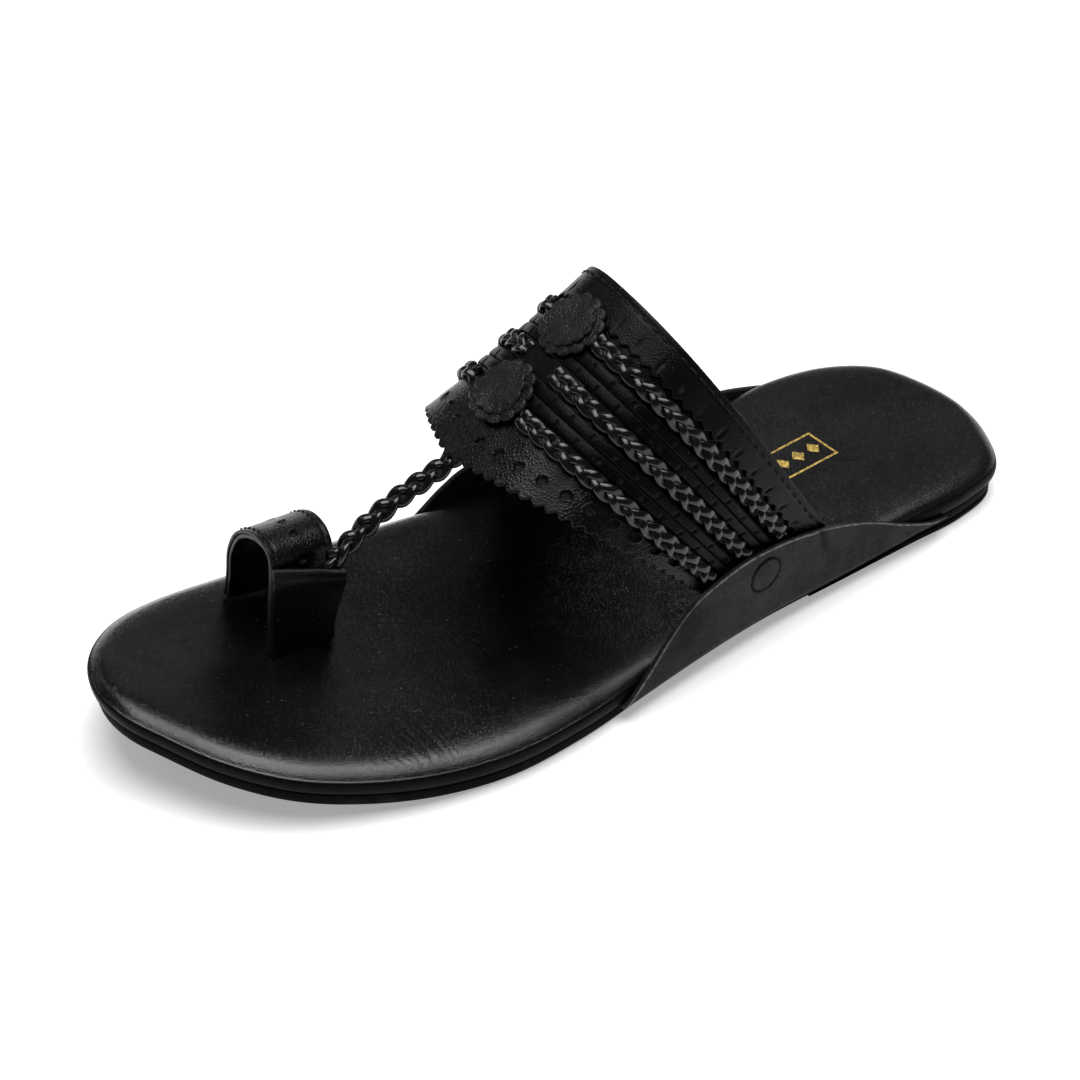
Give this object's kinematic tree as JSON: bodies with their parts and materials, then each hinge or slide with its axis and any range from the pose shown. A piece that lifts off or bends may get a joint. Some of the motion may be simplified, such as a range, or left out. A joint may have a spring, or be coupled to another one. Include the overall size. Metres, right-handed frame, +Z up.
{
  "type": "kolhapuri sandal",
  "caption": "Flat black leather toe-loop sandal: leather-covered footbed, wide instep band with plaited trims and round rosettes, side ears, braided T-strap and big-toe loop.",
  "frame": {"origin": "on the floor, under the middle of the sandal's box", "axes": "+X towards the little toe (lateral), +Y towards the heel, +Z up"},
  "size_m": [0.1046, 0.28, 0.0965],
  "materials": {
    "outsole_rubber": "matt black, smooth sides",
    "footbed_leather": "semi-gloss black, fine grain",
    "upper_leather": "semi-gloss black, pebbled grain",
    "smooth_leather": "satin black, fine grain",
    "braid_leather": "glossy black, rounded strands",
    "rosette_leather": "matt black, pebbled grain"
  },
  "bodies": {
    "root": {"outsole": "outsole_rubber", "footbed": "footbed_leather", "upper": "upper_leather", "toe_tab": "smooth_leather", "ear_lateral": "smooth_leather", "ear_medial": "smooth_leather", "rivet_cap_lateral": "smooth_leather", "rivet_cap_medial": "smooth_leather", "braid_lateral_1": "braid_leather", "braid_lateral_2": "braid_leather", "braid_lateral_3": "braid_leather", "braid_medial_1": "braid_leather", "braid_medial_2": "braid_leather", "braid_medial_3": "braid_leather", "rosette_rear": "rosette_leather", "rosette_front": "rosette_leather"}
  },
  "joints": []
}
